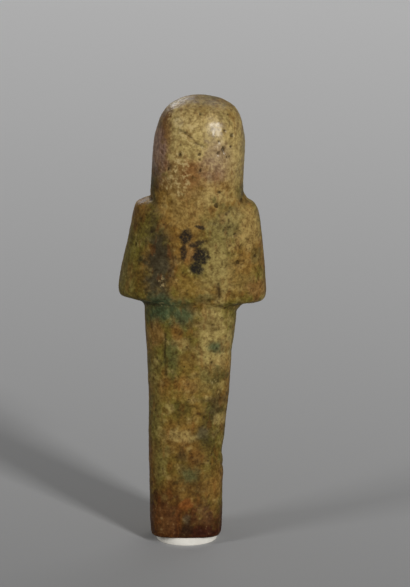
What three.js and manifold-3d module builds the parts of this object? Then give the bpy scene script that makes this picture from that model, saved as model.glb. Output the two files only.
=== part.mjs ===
// A mould-made faience ushabti about 100 mm tall, with its hair in a plain wig, its elbows held out
// and its forearms crossed, standing on a small round pad that holds it up.
//
// Millimetres. +Z is up, +Y is the way the figure faces, +X is its right-hand side, and the origin is
// the centre of the pad's underside. The figure is one solid and the pad is another.
//
// Every form is first built upright about the figure's own axis. The finished solid is then leaned over,
// because the real figure stands a little askew on a level foot.

import * as THREE from "three";
import { LoftGeometry } from "three/addons/geometries/LoftGeometry.js";
import { mergeVertices } from "three/addons/utils/BufferGeometryUtils.js";
import Module from "manifold-3d";

const wasm = await Module();
wasm.setup();

// ---- Driving dimensions ----

const PAD_RADIUS = 6.8;
const PAD_HEIGHT = 1.7;
const PAD_EDGE = 0.25; // radius of the pad's rounded top rim
const PAD_TUCK = 0.5; // how far the wall draws in toward the underside

const FIGURE_HEIGHT = 99.5;
const LEAN = 0.0305; // sideways shift of the axis for each mm of height
const LEAN_START = 12; // the tilt grows from nothing to full over this height
const RIGHT_OF_CENTRE = -0.1; // where the foot stands on the pad
const AHEAD_OF_CENTRE = 1.1;

const BASE = PAD_HEIGHT;
const ELBOW = BASE + 52.6; // underside of the elbows
const SHOULDER = BASE + 76;
const CHIN = BASE + 80;
const CROWN = BASE + FIGURE_HEIGHT;

const FOOT_HALF = 7.8;
const LEG_HALF = 9.6;
const ELBOW_HALF = 16.3;
const SHOULDER_HALF = 13.4;
const WIG_HALF = 10.3;

const BACK_DEPTH = 9.2; // the back behind the axis, at the shoulder blades
const CHEST_DEPTH = 9.2;
const WIG_DEPTH = 10; // the wig behind the axis

const FACE_HALF = 6.5;
const FACE_HEIGHT = 13.6;

const FAIENCE = { color: 0x8f7a41, roughness: 0.5, metalness: 0 };
const PUTTY = { color: 0xe6e2da, roughness: 0.7, metalness: 0 };

// ---- Solids from geometries, and back ----

function solidOf(geometry) {
  const bare = geometry.index ? geometry.toNonIndexed() : geometry.clone();
  bare.deleteAttribute("normal");
  bare.deleteAttribute("uv");
  const merged = mergeVertices(bare, 1e-4);
  const vertProperties = new Float32Array(merged.attributes.position.array);
  const triVerts = new Uint32Array(merged.index.array);
  return new wasm.Manifold(new wasm.Mesh({ numProp: 3, vertProperties, triVerts }));
}

function geometryOf(solid) {
  const { vertProperties, triVerts } = solid.getMesh();
  const geometry = new THREE.BufferGeometry();
  geometry.setAttribute("position", new THREE.BufferAttribute(vertProperties, 3));
  geometry.setIndex(new THREE.BufferAttribute(triVerts, 1));
  geometry.computeVertexNormals();
  return geometry;
}

// ---- Curves ----

// A smooth curve through rows of numbers, as a function from 0 at the first row to 1 at the last. It
// never swings past the rows it passes through.
function smoothRows(rows) {
  const last = rows.length - 1;
  const step = (i, column) => rows[i + 1][column] - rows[i][column];
  const slope = (i, column) => {
    if (i === 0) return step(0, column);
    if (i === last) return step(last - 1, column);
    const before = step(i - 1, column);
    const after = step(i, column);
    return before * after > 0 ? (2 * before * after) / (before + after) : 0;
  };
  return (t) => {
    const i = Math.min(Math.floor(t * last), last - 1);
    const u = t * last - i;
    const v = 1 - u;
    return rows[0].map(
      (_, column) =>
        v * v * ((1 + 2 * u) * rows[i][column] + u * slope(i, column)) +
        u * u * ((3 - 2 * u) * rows[i + 1][column] - v * slope(i + 1, column)),
    );
  };
}

const bell = (x, width) => Math.exp(-((x / width) ** 2));
const powered = (x, power) => Math.sign(x) * Math.abs(x) ** power;

// ---- Lofted forms ----

// A closed level ring between two sides, a back and a front. A squareness of 2 is an ellipse, and more
// is boxier.
function ring(level, left, right, back, front, squareness, backSquareness, points) {
  return Array.from({ length: points }, (_, i) => {
    const turn = (i / points) * 2 * Math.PI;
    const power = 2 / (Math.sin(turn) < 0 ? backSquareness : squareness);
    const across = powered(Math.cos(turn), power);
    const deep = powered(Math.sin(turn), power);
    const x = (left + right) / 2 + ((right - left) / 2) * across;
    const y = (back + front) / 2 + ((front - back) / 2) * deep;
    return new THREE.Vector3(x, y, level);
  });
}

// Rings through stations, each of which is [level, left, right, back, front], or these and a squareness
// of its own for the back.
function loft(stations, squareness, steps, points) {
  const station = smoothRows(stations);
  const count = (stations.length - 1) * steps;
  const rings = Array.from({ length: count + 1 }, (_, i) => {
    const [level, left, right, back, front, atBack] = station(i / count);
    return ring(level, left, right, back, front, squareness, atBack ?? squareness, points);
  });
  return new LoftGeometry(rings, { capStart: true, capEnd: true });
}

// The wrapped legs, which bow a little to the left, down to the foot with its toes forward.
function legs() {
  const stations = [
    [BASE, -FOOT_HALF + 0.1, FOOT_HALF - 0.2, -7.7, 7.5, 4],
    [BASE + 0.4, -FOOT_HALF - 0.1, FOOT_HALF, -7.9, 7.8, 4],
    [BASE + 4, -FOOT_HALF - 0.4, FOOT_HALF + 0.15, -7.9, 7.9, 3.7],
    [BASE + 7, -FOOT_HALF - 0.5, FOOT_HALF + 0.1, -7.7, 6.4, 3.2],
    [BASE + 10.5, -8.5, 7.8, -7.5, 4.7, 2.8],
    [BASE + 21, -8.9, 7.7, -7.4, 4.4, 2.7],
    [BASE + 32, -9.3, 8.5, -7.6, 5.6, 2.7],
    [BASE + 42, -LEG_HALF - 0.4, LEG_HALF - 0.7, -8, 7, 2.7],
    [BASE + 50, -LEG_HALF - 1.1, LEG_HALF, -8.3, 7.6, 2.7],
    [BASE + 58, -LEG_HALF - 0.8, LEG_HALF - 0.4, -8, 7.8, 2.7],
  ];
  return solidOf(loft(stations, 2.7, 2, 40));
}

// The chest, back and upper arms in one, from the flat underside of the elbows to the shoulders. The
// underside climbs toward the back.
function bust() {
  const stations = [
    [ELBOW - 2, -10.3, 9.5, -7.8, 7.4],
    [ELBOW - 0.9, -11, 10.4, -8.3, 7.9],
    [ELBOW - 0.2, -11.7, 11, -8.6, 8.3],
    [ELBOW + 0.1, -13.2, 13.6, -8.8, 8.6],
    [ELBOW + 0.9, -ELBOW_HALF + 0.2, ELBOW_HALF - 0.8, -8.9, 8.9],
    [ELBOW + 3, -ELBOW_HALF - 0.3, ELBOW_HALF - 0.2, -BACK_DEPTH + 0.1, CHEST_DEPTH],
    [ELBOW + 9, -ELBOW_HALF + 0.5, ELBOW_HALF - 0.8, -BACK_DEPTH, CHEST_DEPTH + 0.2],
    [ELBOW + 16, -ELBOW_HALF + 1.8, ELBOW_HALF - 1.7, -BACK_DEPTH, CHEST_DEPTH - 0.2],
    [SHOULDER - 2.8, -SHOULDER_HALF - 0.4, SHOULDER_HALF + 0.5, -BACK_DEPTH + 0.5, 7.8],
    [SHOULDER - 1.4, -SHOULDER_HALF, SHOULDER_HALF, -8.4, 6.4],
    [SHOULDER - 0.7, -SHOULDER_HALF + 0.6, SHOULDER_HALF - 0.4, -7.9, 5.4],
    [SHOULDER - 0.1, -11.2, 12.3, -7.3, 4.6],
    [SHOULDER + 0.5, -9.6, 11.3, -6.4, 3.8],
    [SHOULDER + 1.6, -9.2, 10.7, -5.6, 3.2],
  ];
  const geometry = loft(stations, 2.3, 2, 44);
  const position = geometry.getAttribute("position");
  for (let i = 0; i < position.count; i++) {
    const level = position.getZ(i);
    const climb = 0.19 * (1 - THREE.MathUtils.smoothstep(level, ELBOW, ELBOW + 14));
    position.setZ(i, level - climb * position.getY(i));
  }
  return solidOf(geometry);
}

// The wig over the back of the head and the neck, closed by a loaf-shaped crown.
function wig() {
  const stations = [
    [SHOULDER - 8, -8.6, 8.4, -7.6, 6.6],
    [SHOULDER - 3, -WIG_HALF + 0.9, WIG_HALF - 0.8, -8.9, 7.2],
    [SHOULDER + 1.5, -WIG_HALF + 0.1, WIG_HALF, -WIG_DEPTH + 0.7, 7.8],
    [SHOULDER + 8, -WIG_HALF + 0.3, WIG_HALF - 0.1, -WIG_DEPTH + 0.2, 8.2],
    [SHOULDER + 13, -WIG_HALF + 0.5, WIG_HALF, -WIG_DEPTH, 8.2],
    [CROWN - 7, -9.1, 9.8, -9.7, 7.4],
    [CROWN - 4.3, -8.2, 9.1, -8.8, 6],
    [CROWN - 2.3, -6.6, 7.8, -7.3, 4.3],
    [CROWN - 0.9, -4.3, 5.4, -5, 2.4],
    [CROWN - 0.2, -2, 3, -2.5, 0.6],
    [CROWN, -0.2, 0.8, -0.8, -0.2],
  ];
  return solidOf(loft(stations, 2.2, 2, 44));
}

// ---- The face ----

// The height of the carving over the plain oval of the face, at a place across from the nose and up from
// the chin's underside.
function faceRelief(across, up) {
  const side = Math.abs(across);
  const noseTip = 5.2;
  const nearTip = 1 - THREE.MathUtils.smoothstep(up, noseTip, 10.2);
  const belowBrow = 1 - THREE.MathUtils.smoothstep(up, 9.2, 11.4);
  const aboveLip = THREE.MathUtils.smoothstep(up, noseTip - 0.6, noseTip + 0.2);
  const nose = (0.45 + 1.5 * nearTip) * belowBrow * aboveLip * bell(across, 0.95 + 0.45 * nearTip);
  const brow = 0.45 * bell(side - 3, 2.4) * bell(up - 10.7 + side * 0.1, 0.65);
  const socket = -0.55 * bell(side - 3, 1.9) * bell(up - 9, 1.1);
  const eye = 0.5 * bell(side - 3, 1.5) * bell(up - 8.9, 0.55);
  const cheek = 0.35 * bell(side - 3.6, 1.7) * bell(up - 5.8, 2);
  const upperLip = 0.6 * bell(across, 1.8) * bell(up - 3.9, 0.42);
  const lowerLip = 0.55 * bell(across, 1.5) * bell(up - 2.85, 0.42);
  const chin = 0.5 * bell(across, 1.9) * bell(up - 0.9, 0.9);
  return nose + brow + socket + eye + cheek + upperLip + lowerLip + chin;
}

function face() {
  const outline = smoothRows([
    [0, 3, 8],
    [1, 4.6, 8.6],
    [3.4, 5.8, 8.9],
    [7, FACE_HALF, 9],
    [10.6, FACE_HALF - 0.2, 8.9],
    [FACE_HEIGHT, 5.2, 8],
  ]);
  const rows = 24;
  const columns = 26;
  const backPoints = 4;
  const innerDepth = 3.5;
  const rings = Array.from({ length: rows + 1 }, (_, i) => {
    const [up, half, depth] = outline(i / rows);
    const front = Array.from({ length: columns + 1 }, (_, j) => {
      const turn = (j / columns) * Math.PI;
      const across = half * Math.cos(turn);
      const oval = innerDepth + (depth - innerDepth) * powered(Math.sin(turn), 0.6);
      return new THREE.Vector3(across, oval + faceRelief(across, up), CHIN + up);
    });
    const behind = Array.from({ length: backPoints }, (_, j) => {
      const across = half * ((2 * (j + 1)) / (backPoints + 1) - 1);
      return new THREE.Vector3(across, innerDepth - 1.5, CHIN + up);
    });
    return [...front, ...behind];
  });
  return solidOf(new LoftGeometry(rings, { capStart: true, capEnd: true }));
}

// ---- Limbs and trim on the front ----

// A round bar of a changing radius along a smooth curve through points.
function bar(points, radiusAt, steps, sides) {
  const path = new THREE.CatmullRomCurve3(points.map((p) => new THREE.Vector3(...p)));
  const frames = path.computeFrenetFrames(steps);
  const rings = Array.from({ length: steps + 1 }, (_, i) => {
    const centre = path.getPointAt(i / steps);
    const radius = radiusAt(i / steps);
    return Array.from({ length: sides }, (_, j) => {
      const turn = (j / sides) * 2 * Math.PI;
      return centre
        .clone()
        .addScaledVector(frames.normals[i], radius * Math.cos(turn))
        .addScaledVector(frames.binormals[i], radius * Math.sin(turn));
    });
  });
  return solidOf(new LoftGeometry(rings, { capStart: true, capEnd: true }));
}

// An egg-shaped lump with three half-sizes, such as a fist.
function lump([x, y, z], [wide, deep, tall], sides) {
  const geometry = new THREE.SphereGeometry(1, sides, Math.round(sides / 2));
  geometry.rotateX(Math.PI / 2).scale(wide, deep, tall).translate(x, y, z);
  return solidOf(geometry);
}

// The wig's flap that hangs in front of one shoulder and melts into the wig beside the face.
function lappet(side) {
  const stations = [
    [CHIN - 10.6, 3.9, 8.9, 4, 9.2],
    [CHIN - 10, 3.6, 9.2, 4, 9.8],
    [CHIN - 5, 3.9, 9.5, 4, 9.8],
    [CHIN, 4.6, 9.7, 3.5, 9],
    [CHIN + 4, 5.6, 9.5, 2.5, 7.6],
    [CHIN + 8, 6, 8.9, 1, 5.6],
    [CHIN + 12, 6.2, 8.2, 0, 3.4],
  ];
  const sided = stations.map(([level, inner, outer, back, front]) =>
    side > 0 ? [level, inner, outer, back, front] : [level, -outer, -inner, back, front],
  );
  return solidOf(loft(sided, 3, 2, 20));
}

// The rolled edge of the wig, over the forehead and down both sides of the face.
function wigEdge() {
  const half = [
    [FACE_HALF, 5.9, CHIN + 3.5],
    [FACE_HALF + 0.2, 6.3, CHIN + 8],
    [FACE_HALF - 0.9, 7, CHIN + 11.8],
    [3.1, 7.7, CHIN + FACE_HEIGHT],
  ];
  const mirrored = half.map(([x, y, z]) => [-x, y, z]).reverse();
  return bar([...half, [0, 7.9, CHIN + FACE_HEIGHT + 0.5], ...mirrored], () => 0.8, 24, 8);
}

function ear(side) {
  return lump([side * (FACE_HALF + 0.8), 6, CHIN + 7.6], [1.1, 1.5, 2.5], 14);
}

// One forearm, from its elbow across the chest to the fist below the other shoulder's lappet.
function forearm(side, lift) {
  const points = [
    [side * 13, 2.2, ELBOW + 3],
    [side * 9.5, 6, ELBOW + 4.6],
    [side * 3.5, 8 + lift / 2, ELBOW + 7.6],
    [-side * 1.5, 8.6 + lift, ELBOW + 10.6],
    [-side * 5, 8.4 + lift / 2, ELBOW + 13],
  ];
  return bar(points, (t) => 2.8 - 0.8 * t, 14, 14);
}

function fist(side, lift) {
  return lump([-side * 5.3, 8.5 + lift, ELBOW + 13.7], [2.4, 2.1, 2.3], 14);
}

// ---- Damage ----

// Two shallow flakes lost from the right-hand edge of the shins.
function chips() {
  const edge = 8.1;
  return [
    lump([edge, -0.6, BASE + 19.4], [1.1, 5, 2.7], 14),
    lump([edge, -0.8, BASE + 15.8], [0.75, 4, 1.1], 12),
  ];
}

// ---- The two pieces ----

// Leans a finished geometry over sideways and sets it in its place on the pad. The foot's underside
// stays level.
function leanOver(geometry) {
  const position = geometry.getAttribute("position");
  for (let i = 0; i < position.count; i++) {
    const x = position.getX(i);
    const height = position.getZ(i) - BASE;
    const tilt = LEAN * THREE.MathUtils.smoothstep(height, 0, LEAN_START);
    position.setX(i, x + RIGHT_OF_CENTRE + LEAN * height);
    position.setY(i, position.getY(i) + AHEAD_OF_CENTRE);
    position.setZ(i, BASE + height - tilt * x);
  }
  geometry.computeVertexNormals();
  return geometry;
}

function ushabti() {
  const forms = [
    legs(),
    bust(),
    wig(),
    face(),
    wigEdge(),
    ...[-1, 1].flatMap((side) => [ear(side), lappet(side)]),
    forearm(-1, 0),
    fist(-1, 0),
    forearm(1, 1.3),
    fist(1, 0.4),
  ];
  const whole = forms.reduce((sum, form) => sum.add(form));
  const worn = chips().reduce((sum, chip) => sum.subtract(chip), whole);
  return leanOver(geometryOf(worn));
}

// A low round pad whose wall draws in a little toward the underside.
function pad() {
  const quarter = [0, 1, 2, 3].map((i) => ((i / 3) * Math.PI) / 2);
  const wall = PAD_HEIGHT - PAD_EDGE;
  const profile = [
    new THREE.Vector2(0, 0),
    ...quarter.map(
      (turn) =>
        new THREE.Vector2(
          PAD_RADIUS - PAD_TUCK + PAD_TUCK * Math.sin(turn),
          0.6 * wall * (1 - Math.cos(turn)),
        ),
    ),
    ...quarter.map(
      (turn) =>
        new THREE.Vector2(
          PAD_RADIUS - PAD_EDGE + PAD_EDGE * Math.cos(turn),
          wall + PAD_EDGE * Math.sin(turn),
        ),
    ),
    new THREE.Vector2(0, PAD_HEIGHT),
  ];
  return new THREE.LatheGeometry(profile, 36).rotateX(Math.PI / 2);
}

function piece(name, geometry, finish) {
  const mesh = new THREE.Mesh(geometry, new THREE.MeshStandardMaterial(finish));
  mesh.name = name;
  return mesh;
}

const figurine = new THREE.Group();
figurine.add(piece("ushabti", ushabti(), FAIENCE));
figurine.add(piece("pad", pad(), PUTTY));

export default figurine;
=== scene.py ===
"""A faience ushabti with worn, stained glaze, on its small putty pad.

Run as a script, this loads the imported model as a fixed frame, replaces both of its plain solids with finely
finished pieces in the same places, and sets a plain studio around them.
"""

import functools
import math
from typing import NamedTuple

import bmesh
import bpy
from bpy.props import FloatProperty, FloatVectorProperty, IntProperty, PointerProperty
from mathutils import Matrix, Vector, noise
from mathutils.bvhtree import BVHTree


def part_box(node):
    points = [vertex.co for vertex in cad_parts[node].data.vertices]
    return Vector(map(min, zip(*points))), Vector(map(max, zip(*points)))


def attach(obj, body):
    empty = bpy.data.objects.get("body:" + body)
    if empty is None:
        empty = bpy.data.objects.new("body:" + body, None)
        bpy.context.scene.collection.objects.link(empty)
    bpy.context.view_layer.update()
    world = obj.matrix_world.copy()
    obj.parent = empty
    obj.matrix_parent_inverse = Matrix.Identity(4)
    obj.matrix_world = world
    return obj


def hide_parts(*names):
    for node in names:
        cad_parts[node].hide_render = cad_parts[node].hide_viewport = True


bl_info = {
    "name": "Ushabti figurine",
    "version": (1, 0, 0),
    "blender": (4, 5, 0),
    "location": "3D View > Sidebar > Ushabti",
    "description": "Builds a worn faience tomb figure on its putty pad, in a plain studio",
    "category": "Object",
}

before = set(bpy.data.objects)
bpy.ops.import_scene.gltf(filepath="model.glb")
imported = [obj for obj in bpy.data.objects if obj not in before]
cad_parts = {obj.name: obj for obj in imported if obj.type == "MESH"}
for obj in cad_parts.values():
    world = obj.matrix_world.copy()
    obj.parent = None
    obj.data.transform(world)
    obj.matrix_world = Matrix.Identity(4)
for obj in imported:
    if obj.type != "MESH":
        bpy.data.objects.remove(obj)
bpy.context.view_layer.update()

MM = 0.001
FIGURE_LOW, FIGURE_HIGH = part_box("ushabti")
PAD_LOW, PAD_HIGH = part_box("pad")

# In millimetres: the foot's place above the floor, the figure's height, and its nape's place above the floor.
FOOT = FIGURE_LOW.z / MM
HEIGHT = (FIGURE_HIGH.z - FIGURE_LOW.z) / MM
NAPE = FOOT + 0.795 * HEIGHT

# The figure's sides, and a distance in millimetres that is well outside it.
FRONT, BACK = 1, -1
OUTSIDE = 40


# ---- Colours ----


def paint(code):
    """The linear colour of a six-digit colour code, with an alpha of 1."""
    parts = [int(code[i : i + 2], 16) / 255 for i in (0, 2, 4)]
    return tuple(p / 12.92 if p < 0.04045 else ((p + 0.055) / 1.055) ** 2.4 for p in parts) + (1.0,)


BLACK = paint("000000")
WHITE = paint("ffffff")

# What the glaze's own grain multiplies its colour by, from its browner to its yellower bits.
DARKER = (0.6, 0.53, 0.43, 1.0)
LIGHTER = (1.31, 1.31, 1.24, 1.0)


# ---- Settings that a user would change ----


def colour_property(name, description, code):
    return FloatVectorProperty(
        name=name, description=description, default=paint(code), subtype="COLOR", size=4, min=0, max=1
    )


def length_property(name, description, millimetres):
    return FloatProperty(
        name=name, description=description, default=millimetres * MM, min=0, unit="LENGTH", precision=5
    )


def power_property(name, description, watts):
    return FloatProperty(name=name, description=description, default=watts, min=0, unit="POWER")


class FigureSettings(bpy.types.PropertyGroup):
    """Sizes of the figure's mesh and of the relief on its glaze."""

    grid: length_property("Grid", "Spacing of the figure's mesh", 0.305)
    smoothing: IntProperty(
        name="Smoothing", description="Passes that round off the moulded edges", default=2, min=0
    )
    lump_height: length_property("Lump height", "How far the glaze swells and sinks", 0.16)
    lump_size: length_property("Lump size", "How wide those swells are", 6)
    grain_height: length_property("Grain height", "Height of the small grit on the glaze", 0.09)
    pore_depth: FloatProperty(
        name="Pore depth", description="Depth of a pore against its radius", default=0.6, min=0
    )
    pore_spacing: length_property("Pore spacing", "Least distance between two scattered pores", 1.8)
    smallest_pore: length_property("Smallest pore", "Radius of the smallest scattered pore", 0.12)
    largest_pore: length_property("Largest pore", "Radius of the largest scattered pore", 0.38)
    carving_width: length_property("Carving width", "Half-width of a carved line on the front", 0.46)
    carving_depth: length_property("Carving depth", "Depth of a carved line on the front", 0.3)
    relief_width: length_property("Relief width", "Half-width of the raised brows and lips", 0.48)
    relief_height: length_property("Relief height", "Height of the raised brows and lips", 0.26)
    scratch_width: length_property("Scratch width", "Half-width of a scratch", 0.42)
    scratch_depth: length_property("Scratch depth", "Depth of a scratch", 0.22)
    seed: IntProperty(name="Seed", description="Changes where the scattered pores fall", default=4)


class GlazeSettings(bpy.types.PropertyGroup):
    """Tones of the weathered glaze, its stains and its ink."""

    ochre: colour_property("Ochre", "The commonest tone", "8a6a32")
    olive: colour_property("Olive", "The greener tone mixed through the ochre", "70652b")
    umber: colour_property("Umber", "The brown of the arms and the rims", "543a14")
    straw: colour_property("Straw", "The pale tone of the less weathered wig", "b8a268")
    lime: colour_property("Lime", "The pale green-yellow of the right shoulder", "7e713e")
    # Cream is also the painted highlight on the wig's crown.
    cream: colour_property("Cream", "Bare flecks where the glaze has gone", "c4ac76")
    rose: colour_property("Rose", "The flushed brown on the wig", "8c6238")
    rust: colour_property("Rust", "Iron stain", "7e4a1e")
    russet: colour_property("Russet", "The red-brown of the foot", "47240c")
    maroon: colour_property("Maroon", "The darkest red of the foot", "3a1409")
    moss: colour_property("Moss", "Dark green spots", "47431f")
    verdigris: colour_property("Verdigris", "Blue-green left of the first glaze", "46553a")
    slate: colour_property("Slate", "The grey-brown band down the left arm", "3c3424")
    pewter: colour_property("Pewter", "Cool grey blooms", "5a533f")
    # Mauve is partly a painted sheen where it lies on the wig's left edge.
    mauve: colour_property("Mauve", "The dusky edge of the wig", "98796a")
    # Dirt is also laid as painted shade in hollows, on sideways flanks and in the crevice at the left of the
    # neck.
    dirt_and_shade: colour_property("Dirt", "Earth left in pores and corners", "2a1c0e")
    ink: colour_property("Ink", "The painter's black", "1d1a18")


class PadSettings(bpy.types.PropertyGroup):
    """Looks of the putty pad."""

    putty: colour_property("Putty", "Colour of the pad", "f7f3e8")
    bloom: colour_property("Bloom", "The faint grey over parts of the pad", "c9c2b8")
    unevenness: length_property("Unevenness", "How far the pressed pad is from a true disc", 0.05)


class StageSettings(bpy.types.PropertyGroup):
    """The studio around the figure."""

    floor_colour: colour_property("Floor colour", "Colour of the paper near the figure", "a8a8a8")
    # The paper's lightening toward this far colour is painted light.
    far_painted_light_colour: colour_property("Far colour", "Colour of the paper well beyond the figure", "fbfbfb")
    key_power: power_property("Key power", "Lamp at the right", 36.5)
    fill_power: power_property("Fill power", "Lamp at the left", 10.6)
    rear_power: power_property("Rear power", "Lamp beyond the figure", 4.0)
    face_power: power_property("Face power", "Lamp on the face side, which leaves the floor alone", 26.0)
    ambient: FloatProperty(name="Ambient", description="Even light from all around", default=0.17, min=0)
    camera_distance: length_property("Camera distance", "From the figure to the camera", 1500)
    camera_elevation: FloatProperty(
        name="Camera elevation",
        description="How far the camera looks down",
        default=math.radians(15),
        subtype="ANGLE",
    )
    frame_width: length_property("Frame width", "Width of the view at the figure", 90.6)


# ---- Node trees written as arithmetic ----


class Field:
    """A node's output that Python arithmetic can be written on. Each operation adds its node to the tree."""

    def __init__(self, net, socket):
        self.net = net
        self.socket = socket

    def __add__(self, other):
        return self.net.math("ADD", self, other)

    def __radd__(self, other):
        return self.net.math("ADD", other, self)

    def __sub__(self, other):
        return self.net.math("SUBTRACT", self, other)

    def __rsub__(self, other):
        return self.net.math("SUBTRACT", other, self)

    def __mul__(self, other):
        return self.net.math("MULTIPLY", self, other)

    def __rmul__(self, other):
        return self.net.math("MULTIPLY", other, self)

    def __truediv__(self, other):
        return self.net.math("DIVIDE", self, other)

    def __rtruediv__(self, other):
        return self.net.math("DIVIDE", other, self)


def is_vector(value):
    if isinstance(value, Field):
        return value.socket.type == "VECTOR"
    return isinstance(value, (tuple, Vector))


class Net:
    """Adds nodes to one shader or geometry tree."""

    def __init__(self, tree):
        self.tree = tree

    def node(self, kind, settings=None, values=None):
        """A node of a type, with its settings made first and then its sockets' values or links."""
        node = self.tree.nodes.new(kind)
        for name, setting in (settings or {}).items():
            setattr(node, name, setting)
        for key, value in (values or {}).items():
            if isinstance(value, Field):
                self.tree.links.new(value.socket, node.inputs[key])
            else:
                node.inputs[key].default_value = value
        return node

    def out(self, node, key=0):
        return Field(self, node.outputs[key])

    def math(self, operation, *values):
        """A Math node, or a Vector Math node where any value is a vector."""
        if not any(is_vector(value) for value in values):
            return self.out(self.node("ShaderNodeMath", {"operation": operation}, dict(enumerate(values))))
        spread = [value if isinstance(value, Field) or is_vector(value) else (value,) * 3 for value in values]
        return self.out(self.node("ShaderNodeVectorMath", {"operation": operation}, dict(enumerate(spread))))

    def most(self, values):
        """The greatest of several values."""
        return functools.reduce(functools.partial(self.math, "MAXIMUM"), values)

    def length(self, vector):
        node = self.node("ShaderNodeVectorMath", {"operation": "LENGTH"}, {0: vector})
        return self.out(node, "Value")

    def ramp(self, value, low, high):
        """0 below low, 1 above high, and smooth between. low may be the greater, which turns it round."""
        values = {"Value": value, "From Min": low, "From Max": high}
        return self.out(self.node("ShaderNodeMapRange", {"interpolation_type": "SMOOTHSTEP"}, values))

    def noise(self, place, size, detail=2.0, rough=0.5, shift=(0, 0, 0)):
        """Noise around 0.5, with lumps of about a size in the place's own units."""
        moved = self.math("ADD", place, shift)
        values = {"Vector": moved, "Scale": 1 / size, "Detail": detail, "Roughness": rough}
        return self.out(self.node("ShaderNodeTexNoise", {"noise_dimensions": "3D"}, values))

    def mix(self, factor, first, second, blend="MIX"):
        """A blend of two colours. The sockets are those of the Mix node's colour form."""
        settings = {"data_type": "RGBA", "blend_type": blend, "clamp_factor": True}
        return self.out(self.node("ShaderNodeMix", settings, {0: factor, 6: first, 7: second}), 2)

    def parts(self, vector):
        node = self.node("ShaderNodeSeparateXYZ", values={0: vector})
        return [self.out(node, i) for i in range(3)]

    def attribute(self, name, output="Fac"):
        return self.out(self.node("ShaderNodeAttribute", {"attribute_name": name}), output)


def centred(noise_field, reach):
    """Noise moved to lie around 0, and stretched to run over about a reach."""
    return (noise_field - 0.5) * reach


def on_back(net, depth):
    """1 on the back of the figure and 0 on its front, from the depth in millimetres."""
    return net.ramp(depth, 4.0, -2.0)


# ---- Mesh helpers ----


def new_object(name, mesh):
    made = bpy.data.objects.new(name, mesh)
    bpy.context.scene.collection.objects.link(made)
    return made


def baked(made):
    """Applies an object's modifiers, so that a plain mesh is left."""
    bpy.context.view_layer.update()
    graph = bpy.context.evaluated_depsgraph_get()
    mesh = bpy.data.meshes.new_from_object(made.evaluated_get(graph))
    made.modifiers.clear()
    old = made.data
    made.data = mesh
    bpy.data.meshes.remove(old)
    for polygon in mesh.polygons:
        polygon.use_smooth = True
    return made


def welded_copy(node, name):
    """A copy of a CAD node's mesh as an object of its own, with its loose triangles joined."""
    join_within = 0.002 * MM
    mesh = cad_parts[node].data.copy()
    mesh.materials.clear()
    work = bmesh.new()
    work.from_mesh(mesh)
    bmesh.ops.remove_doubles(work, verts=work.verts, dist=join_within)
    work.to_mesh(mesh)
    work.free()
    return new_object(name, mesh)


class Skin:
    """Finds places on a mesh's surface from behind and from in front."""

    def __init__(self, mesh):
        points = [vertex.co for vertex in mesh.vertices]
        self.tree = BVHTree.FromPolygons(points, [tuple(p.vertices) for p in mesh.polygons])

    def at(self, across, up, side):
        """The surface point at a place in millimetres, on the front or the back."""
        start = Vector((across * MM, side * OUTSIDE * MM, up * MM))
        hit, *_ = self.tree.ray_cast(start, Vector((0, -side, 0)))
        if hit is None:
            raise RuntimeError(f"no surface at {across}, {up}")
        return hit


def path_mesh(name, paths, skin, side):
    """Edges along paths of (across, up) places, laid close on the surface."""
    spacing = 0.3
    work = bmesh.new()
    for path in paths:
        last = None
        for start, end in zip(path, path[1:]):
            steps = max(1, round(math.dist(start, end) / spacing))
            for i in range(steps + 1):
                across = start[0] + (end[0] - start[0]) * i / steps
                up = start[1] + (end[1] - start[1]) * i / steps
                vertex = work.verts.new(skin.at(across, up, side))
                if last:
                    work.edges.new((last, vertex))
                last = vertex
    mesh = bpy.data.meshes.new(name)
    work.to_mesh(mesh)
    work.free()
    return new_object(name, mesh)


def placed_pores(skin):
    """A point for each listed pore, with its radius kept on it."""
    mesh = bpy.data.meshes.new("placed_pores")
    mesh.from_pydata([skin.at(across, up, BACK) for across, up, _ in NAMED_PORES], [], [])
    radius = mesh.attributes.new("pore_radius", "FLOAT", "POINT")
    radius.data.foreach_set("value", [size * MM for *_, size in NAMED_PORES])
    return new_object("placed_pores", mesh)


# ---- The marks on the figure, in millimetres ----
#
# Places are (across, up): across from the middle of the pad toward the figure's right, and up from the
# surface that the pad stands on.

# Larger pores on the back, each (across, up, radius).
NAMED_PORES = (
    (10.1, 93.8, 0.75),
    (8.1, 90.9, 0.85),
    (6.9, 90.2, 0.5),
    (8.9, 89.0, 0.5),
    (-1.4, 89.8, 0.65),
    (2.8, 90.0, 0.5),
    (3.1, 86.3, 0.45),
    (7.2, 81.0, 0.6),
    (6.6, 78.1, 0.75),
    (11.2, 64.9, 0.75),
    (3.0, 88.8, 0.4),
    (-4.0, 86.4, 0.45),
    (9.8, 91.2, 0.4),
    (8.4, 95.0, 0.4),
    (7.2, 92.8, 0.4),
    (3.0, 98.6, 0.45),
    (9.2, 98.2, 0.45),
    (10.6, 71.6, 0.6),
    (15.2, 65.8, 0.6),
)

# Scratches on the back, each a path.
SCRATCHES = (
    ((-1.6, 95.3), (-0.2, 94.7), (1.2, 93.6)),
    ((2.0, 92.6), (3.9, 91.8)),
    ((7.1, 60.5), (7.3, 57.1)),
    ((-4.7, 48.7), (-4.9, 43.7), (-4.6, 39.3)),
)


# The face. Its middle leans with the figure.
FACE_MIDDLE = 2.5
EYE = (FACE_MIDDLE + 3.0, 90.4)
MOUTH = (FACE_MIDDLE, 85.1)

# The fists' middles, each with how far the lines between its fingers step across from one to the next.
FISTS = (((-3.4, 68.0), 0.15), ((7.2, 68.0), -0.15))


def arch(middle, half_width, rise, steps=8):
    """A flat arch of places between two corners, rising at its middle."""
    across, up = middle
    return tuple(
        (across + half_width * t, up + rise * (1 - t * t))
        for t in (2 * i / steps - 1 for i in range(steps + 1))
    )


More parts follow.
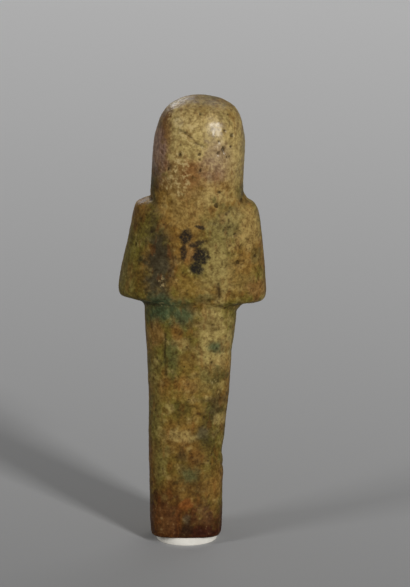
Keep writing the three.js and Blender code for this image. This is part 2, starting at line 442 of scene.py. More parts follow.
def raised(place, rise):
    """A place straight above another, or below it."""
    return (place[0], place[1] + rise)


def mirrored(path):
    """The same path on the other side of the face."""
    return tuple((2 * FACE_MIDDLE - across, up) for across, up in path)


def face_lines():
    """The rims and pupils of both eyes, and the line between the lips."""
    upper = arch(EYE, half_width=1.6, rise=0.75)
    lower = arch(EYE, half_width=1.6, rise=-0.5)
    pupil = arch(raised(EYE, 0.1), half_width=0.25, rise=0.0)
    mouth = arch(MOUTH, half_width=1.8, rise=-0.12)
    return [upper, lower, pupil, mirrored(upper), mirrored(lower), mirrored(pupil), mouth]


def face_relief():
    """The raised brows and lips."""
    brow = arch((EYE[0] + 0.1, EYE[1] + 1.5), half_width=2.0, rise=0.6)
    upper_lip = arch(raised(MOUTH, 0.2), half_width=1.5, rise=0.45)
    lower_lip = arch(raised(MOUTH, -0.35), half_width=1.3, rise=-0.5)
    return [brow, mirrored(brow), upper_lip, lower_lip]


def finger_lines(fist, slant):
    """Three short lines between the four fingers of a fist."""
    across, up = fist
    half_length, apart = 0.9, 1.0
    middles = [(across + slant * i, up + apart * i) for i in (-1, 0, 1)]
    return [((middle - half_length, level), (middle + half_length, level)) for middle, level in middles]


def carved_lines():
    """Every line that is carved on the front."""
    lines = face_lines()
    for fist, slant in FISTS:
        lines += finger_lines(fist, slant)
    return lines


# ---- The stains, with a painted highlight, sheen and shadow among them ----


class Stain(NamedTuple):
    """An upright oval of another tone on the back, with ragged edges."""

    across: float
    up: float
    half_width: float
    half_height: float
    tone: str
    strength: float
    softness: float = 0.9


class Patch(NamedTuple):
    """An oval on the back where one kind of mark lies, with ragged edges. turn is in radians."""

    across: float
    up: float
    half_width: float
    half_height: float
    strength: float = 1.0
    turn: float = 0.0
    softness: float = 0.9


STAINS_AND_PAINTED_LIGHT = (
    # The wig
    Stain(2.4, 91.7, 9.5, 11, "straw", 0.88),
    Stain(2.6, 103.0, 12, 5.0, "umber", 0.4),
    Stain(0.4, 97.4, 3.2, 2.4, "cream", 0.4),
    # Painted highlight: two pale patches where the lamp glints on the wig's crown.
    Stain(5.8, 97.4, 1.2, 1.5, "cream", 0.7),
    Stain(7.2, 93.2, 1.0, 2.6, "cream", 0.6),
    Stain(-5.6, 96.0, 1.9, 6.0, "umber", 0.7),
    Stain(-4.4, 94.0, 1.3, 4.5, "rust", 0.45),
    # The pale mauve down the wig's left edge is partly the glaze's tone and partly a painted sheen.
    Stain(-6.2, 89.2, 2.0, 5.2, "mauve", 0.85),
    # A painted shadow in the crevice at the left of the neck, in the dark earth tone.
    Stain(-7.2, 82.5, 1.5, 4.0, "dirt_and_shade", 0.55),
    Stain(2.1, 84.2, 8.0, 4.6, "rose", 0.5),
    Stain(7.0, 88.0, 3.8, 4.0, "mauve", 0.45),
    Stain(1.0, 85.3, 1.9, 3.6, "rust", 0.6),
    Stain(-0.5, 80.1, 1.4, 1.0, "rust", 0.7),
    Stain(11.6, 93.0, 1.4, 7.0, "straw", 0.5),
    Stain(11.0, 85.0, 2.2, 7.0, "straw", 0.5),
    Stain(11.8, 83.0, 1.2, 4.0, "lime", 0.4),
    Stain(5.6, 80.6, 2.6, 2.6, "straw", 0.45),
    Stain(13.0, 80.0, 2.4, 1.8, "moss", 0.6),
    # The shoulders and the arms
    Stain(-10.8, 75.6, 3.0, 4.4, "umber", 0.4),
    Stain(-12.6, 63.5, 2.6, 8.0, "olive", 0.8),
    Stain(-13.4, 61.5, 1.7, 5.0, "lime", 0.75),
    Stain(-10.2, 60.6, 1.6, 3.2, "umber", 0.5),
    Stain(-6.0, 65.0, 3.0, 9.5, "slate", 0.95, 1.2),
    Stain(-6.2, 63.0, 2.6, 8.0, "slate", 0.6),
    Stain(-5.5, 61.5, 2.6, 5.0, "pewter", 0.35),
    Stain(-2.4, 66.5, 1.3, 8.5, "rust", 0.2),
    Stain(0.4, 75.5, 5.0, 4.0, "ochre", 0.8),
    Stain(1.8, 77.6, 5.6, 4.6, "straw", 0.25),
    Stain(0.8, 68.0, 1.4, 3.0, "rose", 0.5),
    Stain(1.0, 59.8, 5.0, 2.6, "ochre", 0.65),
    Stain(6.8, 67.5, 3.8, 9.5, "lime", 0.9),
    Stain(6.8, 64.0, 3.2, 6.5, "straw", 0.35),
    Stain(13.0, 66.5, 3.6, 9.5, "ochre", 0.45),
    Stain(12.4, 73.2, 4.6, 5.0, "straw", 0.45),
    Stain(12.6, 60.5, 2.6, 2.4, "lime", 0.4),
    Stain(9.2, 74.4, 3.0, 3.6, "lime", 0.6),
    Stain(9.4, 72.6, 1.6, 1.4, "moss", 0.4),
    Stain(15.4, 66.0, 1.2, 2.0, "moss", 0.5),
    Stain(12.6, 78.0, 2.0, 1.2, "moss", 0.3),
    Stain(15.6, 58.2, 2.2, 2.6, "rose", 0.6),
    # The waist
    Stain(-5.8, 54.4, 3.4, 3.2, "verdigris", 0.9, 1.2),
    Stain(-0.6, 53.2, 2.6, 2.8, "verdigris", 0.85, 1.4),
    Stain(4.2, 57.0, 2.6, 0.9, "moss", 0.7),
    Stain(7.0, 58.4, 0.8, 1.6, "umber", 0.7),
    Stain(1.3, 54.8, 1.4, 1.0, "rust", 0.2),
    # The legs
    Stain(6.0, 47.5, 4.0, 8.0, "straw", 0.6),
    Stain(0.5, 15.0, 12.0, 14.0, "umber", 0.35),
    Stain(0.2, 42.6, 2.4, 2.2, "ochre", 0.6),
    Stain(2.6, 30.8, 1.7, 2.6, "ochre", 0.6),
    Stain(-7.7, 17.0, 1.0, 7.0, "rust", 0.35),
    Stain(-7.0, 36.0, 1.6, 10.0, "lime", 0.5),
    Stain(-6.0, 21.0, 1.5, 8.0, "lime", 0.5),
    Stain(-6.3, 48.7, 1.5, 2.8, "rose", 0.55),
    Stain(-2.2, 48.8, 1.3, 2.2, "rust", 0.5),
    Stain(-3.1, 43.5, 1.4, 4.4, "verdigris", 0.45, 1.3),
    Stain(1.0, 45.5, 2.2, 3.6, "umber", 0.35),
    Stain(4.2, 51.0, 3.0, 1.8, "umber", 0.45),
    Stain(6.6, 45.8, 1.7, 1.3, "verdigris", 0.85, 1.5),
    Stain(4.0, 39.2, 1.2, 1.8, "lime", 0.7),
    Stain(5.2, 37.6, 4.0, 2.8, "lime", 0.55),
    Stain(7.0, 39.0, 2.2, 1.9, "moss", 0.65),
    Stain(-4.6, 36.0, 1.6, 3.0, "rust", 0.25),
    Stain(0.6, 36.4, 2.0, 1.5, "rose", 0.3),
    Stain(6.4, 32.0, 2.4, 3.0, "slate", 0.65),
    Stain(-0.8, 31.5, 1.7, 1.8, "moss", 0.5),
    Stain(4.4, 25.5, 2.8, 3.6, "moss", 0.55),
    Stain(3.4, 25.8, 1.2, 1.5, "pewter", 0.6),
    Stain(7.4, 28.6, 1.3, 1.4, "straw", 0.5),
    Stain(-1.0, 25.2, 2.8, 1.6, "straw", 0.45),
    Stain(-0.8, 20.7, 1.3, 1.4, "slate", 0.5),
    Stain(1.9, 20.4, 1.6, 1.5, "rust", 0.35),
    Stain(0.8, 16.1, 1.9, 1.9, "verdigris", 0.6, 1.5),
    Stain(5.4, 13.4, 2.0, 2.4, "ochre", 0.5),
    Stain(1.8, 13.0, 3.0, 1.6, "umber", 0.6),
    Stain(2.2, 19.8, 2.2, 1.6, "umber", 0.35),
    Stain(3.0, 8.8, 2.4, 1.6, "russet", 0.5),
    Stain(-4.6, 11.0, 3.0, 3.0, "umber", 0.5),
    # The foot
    Stain(-4.8, 5.0, 5.5, 7.0, "russet", 0.9),
    Stain(4.0, 2.0, 8.0, 6.0, "russet", 0.9),
    Stain(-4.4, 6.4, 2.8, 3.0, "rose", 0.22),
    Stain(4.4, 6.6, 2.6, 2.0, "rose", 0.12),
    Stain(4.0, 3.0, 3.8, 1.5, "maroon", 0.8),
    Stain(-0.3, 3.6, 1.6, 1.8, "dirt_and_shade", 0.7),
    Stain(-0.2, 6.0, 0.9, 1.0, "pewter", 0.5),
    Stain(-0.2, 9.5, 1.6, 1.3, "rust", 0.85),
)

# Where dark grit is thick in the glaze, and where bare flecks are, with a painted highlight of pale flecks on
# the wig among them.
GRITTY = (
    Patch(8.8, 73.8, 3.2, 3.6, 0.8),
    Patch(12.3, 66.0, 4.6, 8.5, 0.6),
    Patch(6.6, 64.8, 2.8, 4.4, 0.7),
    Patch(7.0, 58.6, 1.4, 2.2, 0.9),
    Patch(9.0, 92.0, 3.4, 5.0, 0.3),
    Patch(2.0, 100.0, 6.0, 3.0, 0.3),
    Patch(-7.0, 68.0, 5.0, 10.0, 0.4),
    Patch(2.0, 40.0, 8.0, 12.0, 0.4),
    Patch(3.0, 24.0, 6.0, 6.0, 0.5),
)
FLECKED_AND_GLINTING = (
    Patch(-0.6, 96.0, 3.4, 4.4, 0.8),
    # A painted highlight of pale flecks on the wig's crown.
    Patch(6.6, 95.0, 1.8, 3.4, 0.9),
    Patch(-1.2, 86.0, 1.8, 4.6, 1.0),
    Patch(-4.2, 82.6, 1.2, 2.2, 1.0),
    Patch(7.0, 87.6, 3.2, 2.0, 0.8),
    Patch(-5.5, 60.4, 0.9, 1.6, 0.9),
    Patch(-5.6, 55.0, 0.5, 1.2, 1.0),
    Patch(-4.0, 5.5, 3.0, 3.0, 0.12),
    Patch(5.5, 6.0, 2.6, 2.2, 0.12),
    Patch(6.4, 37.6, 0.9, 1.6, 0.7),
)

# Where the wig's glaze is still glossy.
GLOSS = Patch(6.4, 92.6, 2.6, 7.5)

# The brush marks left of the painted bag.
INK = (
    Patch(-0.1, 71.2, 1.3, 2.0, 0.97, 0.15, 0.7),
    Patch(-0.6, 67.7, 0.7, 2.3, 0.9, 0.1, 0.8),
    Patch(3.2, 73.3, 1.25, 0.4, 0.9, 0.25, 0.8),
    Patch(2.3, 69.6, 1.9, 0.65, 0.9, -0.3, 0.8),
    Patch(3.0, 66.7, 1.9, 1.9, 1.0, 0.2, 0.8),
    Patch(2.2, 64.1, 1.5, 1.7, 1.0, -0.5, 0.8),
)


# ---- The figure's surface as geometry nodes ----

# The tree's inputs. Each size and count is named for the setting that it takes.
SIZES = (
    "Lump height",
    "Lump size",
    "Grain height",
    "Pore depth",
    "Pore spacing",
    "Smallest pore",
    "Largest pore",
    "Carving width",
    "Carving depth",
    "Relief width",
    "Relief height",
    "Scratch width",
    "Scratch depth",
)
COUNTS = ("Smoothing", "Seed")
GUIDES = ("Placed pores", "Carving", "Relief", "Scratches")


def blurred(net, value, times):
    """A vector evened out with its neighbours' over the mesh, a number of times."""
    values = {"Value": value, "Iterations": times}
    return net.out(net.node("GeometryNodeBlurAttribute", {"data_type": "FLOAT_VECTOR"}, values))


def shifted(net, geometry, offset):
    return net.out(net.node("GeometryNodeSetPosition", values={"Geometry": geometry, "Offset": offset}))


def kept(net, geometry, name, value, data_type="FLOAT"):
    """The geometry with a value kept on its points under a name."""
    settings = {"data_type": data_type, "domain": "POINT"}
    values = {"Geometry": geometry, "Name": name, "Value": value}
    return net.out(net.node("GeometryNodeStoreNamedAttribute", settings, values))


def edge_of_oval(net, reach, mark):
    """1 well inside a stain or a patch and 0 well outside it. reach is 0 in its middle and 1 on its edge."""
    return net.ramp(reach, 1 + mark.softness / 2, 1 - mark.softness / 2)


def within(net, mm, mark, ragged):
    """How strongly a stain or a patch covers each point of the mesh, from 0 to 1."""
    near = (mm - (mark.across, 0, mark.up)) * (1 / mark.half_width, 0, 1 / mark.half_height)
    return edge_of_oval(net, net.length(near) + ragged, mark) * mark.strength


def worn_form(net, put, place, depth, up):
    """The given mesh with its edges worn round, but with the sharp edge of the foot's underside.

    The back of the wig is also eased into the shoulders, without a step.
    """
    off_the_foot = net.ramp(up, FOOT + 0.3, FOOT + 2)
    worn = blurred(net, place, put("Smoothing")) - place
    geometry = shifted(net, put("Geometry"), worn * (off_the_foot * 0.8 + 0.2))
    far, near, passes = 6, 2, 150
    seam = net.ramp(depth, -2.4, -4.9)
    seam = seam * net.ramp(up, NAPE - far, NAPE - near) * net.ramp(up, NAPE + far, NAPE + near)
    eased = blurred(net, place, passes) - place
    return shifted(net, geometry, eased * seam)


def pore_points(net, put, place, geometry):
    """Points for the pores, some scattered and some listed one by one, each with its radius kept on it."""
    per_square_metre = 6e5
    scatter = net.node(
        "GeometryNodeDistributePointsOnFaces",
        {"distribute_method": "POISSON"},
        {
            "Mesh": geometry,
            "Distance Min": put("Pore spacing"),
            "Density Max": per_square_metre,
            "Density Factor": net.ramp(net.noise(place, size=9 * MM, detail=1.0), 0.4, 0.65),
            "Seed": put("Seed"),
        },
    )
    limits = {"Min": 0.0, "Max": 1.0, "Seed": put("Seed")}
    chance = net.out(net.node("FunctionNodeRandomValue", {"data_type": "FLOAT"}, limits), 1)
    spread = put("Largest pore") - put("Smallest pore")
    radius = put("Smallest pore") + spread * chance * chance
    scattered = kept(net, net.out(scatter, "Points"), "pore_radius", radius)
    placed = net.node("GeometryNodeObjectInfo", values={"Object": put("Placed pores")})
    points = net.node("GeometryNodeMeshToPoints", values={"Mesh": net.out(placed, "Geometry")})
    joined = net.node("GeometryNodeJoinGeometry")
    for each in (scattered, net.out(points)):
        net.tree.links.new(each.socket, joined.inputs[0])
    return net.out(joined)


def pore_marks(net, place, points):
    """How deep in its nearest pore each place is, from 0 to 1, and the radius of that pore."""
    nearest = net.out(net.node("GeometryNodeSampleNearest", {"domain": "POINT"}, {"Geometry": points}))

    def sample(data_type, value):
        values = {"Geometry": points, "Value": value, "Index": nearest}
        return net.out(net.node("GeometryNodeSampleIndex", {"data_type": data_type}, values))

    named = {"Name": "pore_radius"}
    size = net.node("GeometryNodeInputNamedAttribute", {"data_type": "FLOAT"}, named)
    radius = sample("FLOAT", net.out(size))
    reach = net.length(place - sample("FLOAT_VECTOR", place)) / radius
    ragged = centred(net.noise(place, size=0.7 * MM, detail=1.0), 1.6)
    return net.ramp(reach + ragged, 1.15, 0.25), radius


def line_marks(net, put, guide, width):
    """How near each place is to the edges of a guide's mesh: 1 on them, and 0 past a half-width."""
    other = net.node("GeometryNodeObjectInfo", values={"Object": put(guide)})
    near = net.node("GeometryNodeProximity", {"target_element": "EDGES"}, {0: net.out(other, "Geometry")})
    return net.ramp(net.out(near, "Distance") / put(width), 1.0, 0.15)


def swelling(net, put, place, up):
    """Soft lumps at two sizes, and grit. The foot's flat underside keeps its level."""
    size = put("Lump size")
    lump = net.noise(place, size, detail=1.0) + 0.5 * net.noise(place, size * 0.35, detail=1.0)
    grain = net.noise(place * (1 / MM), size=0.9, detail=2.0, rough=0.6)
    swell = put("Lump height") * (lump - 0.75) * 2 + put("Grain height") * centred(grain, 2)
    return swell * net.ramp(up, FOOT + 0.2, FOOT + 1.5)


def hollowness(net, place, normal):
    """How far each place lies below its own blurred surroundings, in millimetres."""
    passes = 14
    rise = blurred(net, place, passes) - place
    step = net.node("ShaderNodeVectorMath", {"operation": "DOT_PRODUCT"}, {0: rise, 1: normal})
    return net.out(step, "Value") * (1 / MM)


def flank_shade_marks(net, normal):
    """How nearly each place faces sideways or up: for painted shade where the figure turns sideways, and dust
    where it faces up.
    """
    facing, _, upward = net.parts(normal)
    return net.math("MAXIMUM", net.math("ABSOLUTE", facing), upward)


def stain_marks(net, mm, tones, behind):
    """The stains laid over each other in order, some of them painted highlight, sheen and shadow, and how far
    they, grit and flecks cover the glaze.
    """
    ragged = centred(net.noise(mm, size=2.2, detail=4.0, rough=0.65, shift=(9, 0, 0)), 2.4)
    stain, left = BLACK, 1.0
    for each in STAINS_AND_PAINTED_LIGHT:
        share = within(net, mm, each, ragged) * behind
        stain = net.mix(share, stain, getattr(tones, each.tone))
        left = left * (1 - share)
    gritty = net.most(within(net, mm, each, ragged) for each in GRITTY)
    flecked = net.most(within(net, mm, each, ragged) for each in FLECKED_AND_GLINTING)
    return stain, {"stained": 1 - left, "gritty": gritty * behind, "flecked": flecked * behind}


def surface_tree(tones):
    """Relief that any moulded, glazed and buried surface would have.

    The tree swells the surface with soft lumps and grit, sinks pores that are scattered or listed one by one,
    and cuts or raises lines along the edges of other meshes. It keeps where each of these is, and where the
    stains are, as attributes for the glaze to read.
    """
    tree = bpy.data.node_groups.new("Glazed surface", "GeometryNodeTree")
    inputs = {"Geometry": ["Geometry"], "Float": SIZES, "Int": COUNTS, "Object": GUIDES}
    inputs["Material"] = ["Material"]
    for kind, names in inputs.items():
        for name in names:
            tree.interface.new_socket(name, in_out="INPUT", socket_type=f"NodeSocket{kind}")
    tree.interface.new_socket("Geometry", in_out="OUTPUT", socket_type="NodeSocketGeometry")

    net = Net(tree)
    put = functools.partial(net.out, net.node("NodeGroupInput"))
    place = net.out(net.node("GeometryNodeInputPosition"))
    normal = net.out(net.node("GeometryNodeInputNormal"))
    mm = place * (1 / MM)
    _, depth, up = net.parts(mm)

    geometry = worn_form(net, put, place, depth, up)
    pore, pore_radius = pore_marks(net, place, pore_points(net, put, place, geometry))
    carving = line_marks(net, put, "Carving", "Carving width")
    relief = line_marks(net, put, "Relief", "Relief width")
    scratch = line_marks(net, put, "Scratches", "Scratch width")
    cut = pore * pore_radius * put("Pore depth")
    cut = cut + carving * put("Carving depth") + scratch * put("Scratch depth")
    cut = cut - relief * put("Relief height")
    geometry = shifted(net, geometry, normal * (swelling(net, put, place, up) - cut))

    stain, marks = stain_marks(net, mm, tones, on_back(net, depth))
    marks |= {"pore": pore, "carving": carving, "scratch": scratch}
    marks |= {"hollow": hollowness(net, place, normal), "flank": flank_shade_marks(net, normal)}
    geometry = kept(net, geometry, "stain", stain, "FLOAT_COLOR")
    for name, value in marks.items():
        geometry = kept(net, geometry, name, value)

    whole = net.out(net.node("GeometryNodeRealizeInstances", values={"Geometry": geometry}))
    glazed = {"Geometry": whole, "Material": put("Material")}
    finished = net.out(net.node("GeometryNodeSetMaterial", values=glazed))
    net.node("NodeGroupOutput", values={"Geometry": finished})
    return tree


def add_surface(figure, tree, values):
    """Puts the surface tree on an object, with each named input set by its socket's identifier."""
    modifier = figure.modifiers.new("Glazed surface", "NODES")
    modifier.node_group = tree
    for item in tree.interface.items_tree:
        if item.in_out == "INPUT" and item.name in values:
            modifier[item.identifier] = values[item.name]


# ---- Materials ----


def start_material(name):
    """A new material, the Net that fills its tree, and the place on the object in metres."""
    material = bpy.data.materials.new(name)
    material.use_nodes = True
    material.node_tree.nodes.clear()
    net = Net(material.node_tree)
    return material, net, net.out(net.node("ShaderNodeTexCoord"), "Object")


def finish_material(net, values):
    """The shader with its sockets' values, led to the material's output."""
    shader = net.out(net.node("ShaderNodeBsdfPrincipled", values=values))
    net.node("ShaderNodeOutputMaterial", values={"Surface": shader})


class Grain(NamedTuple):
    """The noises that the glaze's colour, dirt and gloss share."""

    broad: Field
    medium: Field
    patchy: Field
    streaks: Field
    small: Field
    grit: Field


def glaze_grain(net, place):
    """The glaze's noises, each with its size in millimetres. The streaks run up the figure."""
    return Grain(
        broad=net.noise(place, size=9.0, detail=3.0),
        medium=net.noise(place, size=3.0, detail=4.0, rough=0.6),
        patchy=net.noise(place, size=2.2, detail=5.0, rough=0.65, shift=(9, 0, 0)),
        streaks=net.noise(place * (1, 1, 0.35), size=1.5, detail=4.0, rough=0.6, shift=(0, 30, 0)),
        small=net.noise(place, size=1.1, detail=4.0, rough=0.65, shift=(40, 0, 0)),
        grit=net.noise(place, size=0.5, detail=2.0, rough=0.6, shift=(0, 0, 70)),
    )


def body_colour(net, tones, grain):
    """The tones that run all over the figure."""
    colour = net.mix(net.ramp(grain.broad, 0.4, 0.6), tones.ochre, tones.olive)
    colour = net.mix(net.ramp(grain.medium, 0.5, 0.66) * 0.45, colour, tones.straw)
    return net.mix(net.ramp(grain.medium, 0.46, 0.3) * 0.7, colour, tones.umber)


def stained(net, colour):
    """A colour under the stains that the mesh keeps."""
    uncovered = net.mix(net.attribute("stained"), colour, BLACK)
    return net.mix(1.0, uncovered, net.attribute("stain", "Color"), "ADD")


def weathered(net, tones, colour, grain, behind, on_wig):
    """A colour with rusty streaks, moss, pale proud places on the front that are worn glaze and painted
    light, fine light and dark, and bare flecks with a painted highlight among them.
    """
    colour = net.mix(net.ramp(grain.streaks, 0.54, 0.66) * 0.3, colour, tones.rust)
    colour = net.mix(net.ramp(grain.patchy, 0.42, 0.3) * 0.4, colour, tones.moss)
    # Paler where the front stands proud: worn glaze, and painted light that brings out its forms.
    proud_wear_and_light = net.ramp(net.attribute("hollow"), -0.03, -0.18) * (1 - behind)
    colour = net.mix(proud_wear_and_light * 0.42, colour, tones.straw)
    grainy = net.ramp(grain.small * 0.7 + grain.grit * 0.3, 0.36, 0.64)
    colour = net.mix(1.0, colour, net.mix(grainy, DARKER, LIGHTER), "MULTIPLY")
    flecked = net.attribute("flecked")
    # Bare flecks, and on the wig's crown a painted highlight.
    bare_and_glint = net.ramp(grain.grit * 0.3 + grain.small * 0.7 + flecked * 0.08, 0.57, 0.67)
    return net.mix(bare_and_glint * (0.12 + on_wig * 0.18 + flecked * 0.6), colour, tones.cream)


def dirt_and_shade_marks(net, grain):
    """How much of the dark earth tone lies on each place: dirt in grit, pores and lines, dirt and painted
    shade in hollows, and thinly on the flanks as painted shade where they turn sideways and dust where they
    face up.
    """
    speck = net.ramp(grain.small * 0.5 + grain.grit * 0.5 - net.attribute("gritty") * 0.1, 0.4, 0.28)
    # Dirt and painted shade in the hollows.
    hollow = net.ramp(net.attribute("hollow"), 0.02, 0.16)
    lines = net.most([net.attribute("scratch"), net.attribute("carving")])
    # Painted shade where the figure turns sideways, and dust where it faces up.
    flank = net.ramp(net.attribute("flank"), 0.86, 1.0)
    return net.most([speck * 0.42, net.attribute("pore") * 0.75, hollow * 0.75, lines * 0.75, flank * 0.28])


def oval(net, place, patch, ragged):
    """1 well inside a patch and 0 outside it. The oval runs right through the figure's depth."""
    endless = 1e4
    values = {
        "Vector": place,
        "Location": (patch.across, 0, patch.up),
        "Rotation": (0, patch.turn, 0),
        "Scale": (patch.half_width, endless, patch.half_height),
    }
    local = net.out(net.node("ShaderNodeMapping", {"vector_type": "TEXTURE"}, values))
    return edge_of_oval(net, net.length(local) + ragged, patch)


def ink_marks(net, place, grain):
    """How thick the ink is on each place: it is thinner where the glaze's grit has worn it."""
    strokes = net.most(
        oval(net, place, stroke, centred(grain.small, 1.2)) * stroke.strength for stroke in INK
    )
    return strokes, net.ramp(grain.grit, 0.75, 0.45) * 0.35 + 0.6


def glaze_material(tones):
    """Weathered faience: mottled glaze with stains, bare flecks, dirt in its pores, dirt and painted shade in
    its hollows and on its flanks, painted light on the wig and the front, and worn ink.
    """
    material, net, place = start_material("Weathered faience glaze")
    place = place * (1 / MM)
    _, depth, up = net.parts(place)
    behind = on_back(net, depth)
    on_wig = net.ramp(up, NAPE, NAPE + 4) * behind
    grain = glaze_grain(net, place)

    colour = stained(net, body_colour(net, tones, grain))
    colour = weathered(net, tones, colour, grain, behind, on_wig)
    # The dark earth tone: dirt, and painted shade in hollows and on sideways flanks.
    dirt_and_shade_cover = dirt_and_shade_marks(net, grain)
    colour = net.mix(dirt_and_shade_cover, colour, tones.dirt_and_shade)
    strokes, worn = ink_marks(net, place, grain)
    colour = net.mix(strokes * behind * worn, colour, tones.ink)

    gloss = oval(net, place, GLOSS, centred(grain.patchy, 2.4)) * behind
    thin_gloss = on_wig * net.ramp(grain.patchy, 0.35, 0.6) * 0.4
    height = grain.small * 0.6 + grain.grit * 0.4 + grain.streaks * on_wig * 1.2
    bump = net.node("ShaderNodeBump", values={"Strength": 0.8, "Distance": 0.2 * MM, "Height": height})
    finish_material(
        net,
        {
            "Base Color": colour,
            "Roughness": 0.45 + net.ramp(grain.medium, 0.35, 0.65) * 0.15 + dirt_and_shade_cover * 0.3,
            "Specular IOR Level": 0.12,
            "Normal": net.out(bump),
            "Coat Weight": (1 - dirt_and_shade_cover) * (thin_gloss + gloss * 0.9),
            "Coat Roughness": 0.34,
        },
    )
    return material


def putty_material(settings):
    """Matt off-white putty with a faint grey bloom."""
    material, net, place = start_material("Putty")
    place = place * (1 / MM)
    cloud = net.noise(place, size=2.5, detail=3.0)
    fine = net.noise(place, size=0.5, detail=2.0)
    bump = net.node("ShaderNodeBump", values={"Strength": 0.3, "Distance": 0.1 * MM, "Height": fine})
    finish_material(
        net,
        {
            "Base Color": net.mix(net.ramp(cloud, 0.4, 0.7) * 0.25, settings.putty, settings.bloom),
            "Roughness": 0.62 + cloud * 0.15,
            "Normal": net.out(bump),
        },
    )
    return material


def paper_material(settings):
    """Matt paper with painted light: evenly lighter from near the camera to beyond the figure and a little
    toward the right, in metres.
    """
    material, net, place = start_material("Floor paper")
    across, along, _ = net.parts(place)
    evenly = {"Value": along + 0.2 * across, "From Min": -0.05, "From Max": 0.55}
    # Painted light: lighter further from the camera and toward the right, where more light falls.
    far = net.out(net.node("ShaderNodeMapRange", {"interpolation_type": "LINEAR"}, evenly))
    colour = net.mix(far, settings.floor_colour, settings.far_painted_light_colour)
    finish_material(net, {"Base Color": colour, "Roughness": 0.9, "Specular IOR Level": 0.1})
    return material


# ---- Operators: one for each piece, and one for the stage ----


class USHABTI_OT_figure(bpy.types.Operator):
    """Build the faience figure from its CAD solid"""

    bl_idname = "ushabti.figure"
    bl_label = "Build figure"

    def execute(self, context):
        settings = context.scene.ushabti_figure
        tones = context.scene.ushabti_glaze
        figure = welded_copy("ushabti", "faience_figure")
        remesh = figure.modifiers.new("Even mesh", "REMESH")
        remesh.mode = "VOXEL"
        remesh.voxel_size = settings.grid
        baked(figure)

        skin = Skin(figure.data)
        guides = {
            "Placed pores": placed_pores(skin),
            "Carving": path_mesh("carving", carved_lines(), skin, FRONT),
            "Relief": path_mesh("relief", face_relief(), skin, FRONT),
            "Scratches": path_mesh("scratches", SCRATCHES, skin, BACK),
        }
        values = {name: getattr(settings, name.lower().replace(" ", "_")) for name in SIZES + COUNTS}
        values |= guides
        values["Material"] = glaze_material(tones)
        add_surface(figure, surface_tree(tones), values)
        baked(figure)
        for guide in guides.values():
            bpy.data.objects.remove(guide)
        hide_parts("ushabti")
        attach(figure, "root")
        return {"FINISHED"}


class USHABTI_OT_pad(bpy.types.Operator):
    """Build the pressed putty pad under the foot"""

    bl_idname = "ushabti.pad"
    bl_label = "Build pad"

    def execute(self, context):
        settings = context.scene.ushabti_pad
        radius = (PAD_HIGH.x - PAD_LOW.x) / 2
        height = PAD_HIGH.z - PAD_LOW.z
        work = bmesh.new()
        rings = self.rings(radius, height, settings.unevenness)
        loops = [[work.verts.new(point) for point in ring] for ring in rings]
        for lower, upper in zip(loops, loops[1:]):
            for i in range(len(lower)):
                j = (i + 1) % len(lower)
                work.faces.new((lower[i], lower[j], upper[j], upper[i]))
        work.faces.new(list(reversed(loops[0])))
        work.faces.new(loops[-1])
        mesh = bpy.data.meshes.new("putty_pad")
        work.to_mesh(mesh)
        work.free()
        pad = new_object("putty_pad", mesh)
        pad.data.materials.append(putty_material(settings))
        for polygon in pad.data.polygons:
            polygon.use_smooth = len(polygon.vertices) == 4
        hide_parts("pad")
        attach(pad, "root")
        return {"FINISHED"}

    def rings(self, radius, height, unevenness):
        """Level rings up the pad's wall, which draws in toward the underside and has a rounded top rim."""
        sides, steps, swells = 96, 6, 1.7
        tuck, edge = 0.15 * MM, 0.25 * MM
        wall = height - edge
        widest = 0.6 * wall
        quarter = [math.pi / 2 * i / steps for i in range(steps + 1)]
        profile = [(radius - tuck + tuck * math.sin(turn), widest * (1 - math.cos(turn))) for turn in quarter]
        profile += [(radius - edge + edge * math.cos(turn), wall + edge * math.sin(turn)) for turn in quarter]
        rings = []
        for out, up in profile:
            ring = []
            for i in range(sides):
                turn = 2 * math.pi * i / sides
                place = Vector((math.cos(turn), math.sin(turn), up / height))
                inset = unevenness * (0.5 + 0.5 * noise.noise(place * swells))
                reach = out - inset
                ring.append((reach * math.cos(turn), reach * math.sin(turn), up))
            rings.append(ring)
        return rings


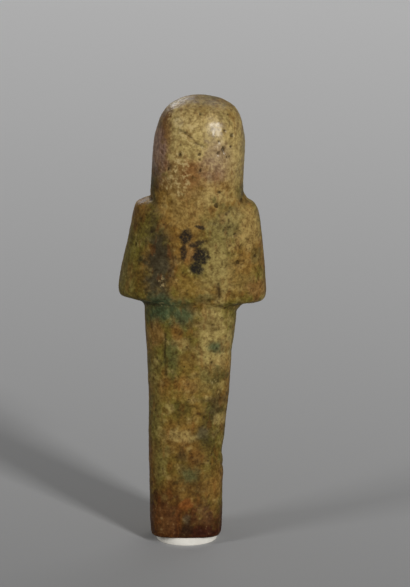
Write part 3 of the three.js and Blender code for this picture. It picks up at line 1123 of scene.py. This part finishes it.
class USHABTI_OT_stage(bpy.types.Operator):
    """Set the floor, the lamps and the camera"""

    bl_idname = "ushabti.stage"
    bl_label = "Set stage"

    def execute(self, context):
        settings = context.scene.ushabti_stage
        floor = self.floor(settings)
        self.lamp("Key", settings.key_power, turn=31, rise=21, distance=2.5, width=0.32, height=0.8)
        self.lamp("Fill", settings.fill_power, turn=-56, rise=32, distance=2.5, width=0.65, height=0.65)
        self.lamp("Rear", settings.rear_power, turn=158, rise=50, distance=2.2, width=1.2, height=0.8)
        face = self.lamp("Face", settings.face_power, turn=200, rise=30, distance=2.5, width=1, height=1)
        self.keep_off(face, floor)
        self.world(context, settings.ambient)
        self.camera(context, settings)
        context.scene.view_settings.view_transform = "Standard"
        context.scene.view_settings.look = "None"
        return {"FINISHED"}

    def floor(self, settings):
        """A wide level floor of matt paper, round the figure on every side."""
        reach = 6.0
        corners = [(-reach, -reach, 0), (reach, -reach, 0), (reach, reach, 0), (-reach, reach, 0)]
        mesh = bpy.data.meshes.new("floor")
        mesh.from_pydata(corners, [], [(0, 1, 2, 3)])
        mesh.materials.append(paper_material(settings))
        floor = new_object("floor", mesh)
        return floor

    def lamp(self, name, power, turn, rise, distance, width, height):
        """A soft box aimed at the figure's middle, with its distance, width and height in metres.

        turn is in degrees to the right of the camera, and rise in degrees above level.
        """
        data = bpy.data.lights.new(name, "AREA")
        data.energy = power
        data.shape = "RECTANGLE"
        data.size = width
        data.size_y = height
        lamp = bpy.data.objects.new(name, data)
        bpy.context.scene.collection.objects.link(lamp)
        turn, rise = math.radians(turn), math.radians(rise)
        away = Vector((math.sin(turn) * math.cos(rise), -math.cos(turn) * math.cos(rise), math.sin(rise)))
        lamp.location = Vector((0, 0, HEIGHT * MM / 2)) + away * distance
        lamp.rotation_euler = (-away).to_track_quat("-Z", "Y").to_euler()
        return lamp

    def keep_off(self, lamp, unlit):
        """Leaves one object out of what a lamp lights."""
        excluded = bpy.data.collections.new(f"{lamp.name} excludes")
        excluded.objects.link(unlit)
        excluded.collection_objects[0].light_linking.link_state = "EXCLUDE"
        lamp.light_linking.receiver_collection = excluded

    def world(self, context, ambient):
        world = bpy.data.worlds.new("Studio")
        context.scene.world = world
        world.use_nodes = True
        light = world.node_tree.nodes["Background"]
        light.inputs["Color"].default_value = WHITE
        light.inputs["Strength"].default_value = ambient

    def camera(self, context, settings):
        """The camera behind the figure, aimed a little above its middle and toward its right."""
        aim = Vector((4.1 * MM, 0, (FOOT + 0.548 * HEIGHT) * MM))
        data = bpy.data.cameras.new("Camera")
        data.sensor_fit = "HORIZONTAL"
        data.lens = data.sensor_width * settings.camera_distance / settings.frame_width
        data.clip_start = 0.01
        camera = bpy.data.objects.new("Camera", data)
        context.scene.collection.objects.link(camera)
        rise = settings.camera_elevation
        away = Vector((0, -math.cos(rise), math.sin(rise)))
        camera.location = aim + away * settings.camera_distance
        camera.rotation_euler = (math.pi / 2 - rise, 0, 0)
        context.scene.camera = camera


class USHABTI_PT_panel(bpy.types.Panel):
    """Lists the operators, each with its sizes and colours"""

    bl_label = "Ushabti figurine"
    bl_space_type = "VIEW_3D"
    bl_region_type = "UI"
    bl_category = "Ushabti"

    def draw(self, context):
        for operator, groups in PARTS:
            column = self.layout.column(align=True)
            column.operator(operator.bl_idname)
            for group in groups:
                settings = getattr(context.scene, group)
                for name in settings.bl_rna.properties.keys():
                    if name not in ("rna_type", "name"):
                        column.prop(settings, name)


PARTS = (
    (USHABTI_OT_figure, ("ushabti_figure", "ushabti_glaze")),
    (USHABTI_OT_pad, ("ushabti_pad",)),
    (USHABTI_OT_stage, ("ushabti_stage",)),
)

SETTINGS = {
    "ushabti_figure": FigureSettings,
    "ushabti_glaze": GlazeSettings,
    "ushabti_pad": PadSettings,
    "ushabti_stage": StageSettings,
}

CLASSES = (
    *SETTINGS.values(),
    USHABTI_OT_figure,
    USHABTI_OT_pad,
    USHABTI_OT_stage,
    USHABTI_PT_panel,
)


def register():
    for each in CLASSES:
        bpy.utils.register_class(each)
    for name, group in SETTINGS.items():
        setattr(bpy.types.Scene, name, PointerProperty(type=group))


def unregister():
    for name in SETTINGS:
        delattr(bpy.types.Scene, name)
    for each in reversed(CLASSES):
        bpy.utils.unregister_class(each)


def main():
    register()
    bpy.ops.ushabti.figure()
    bpy.ops.ushabti.pad()
    bpy.ops.ushabti.stage()


if __name__ == "__main__":
    main()
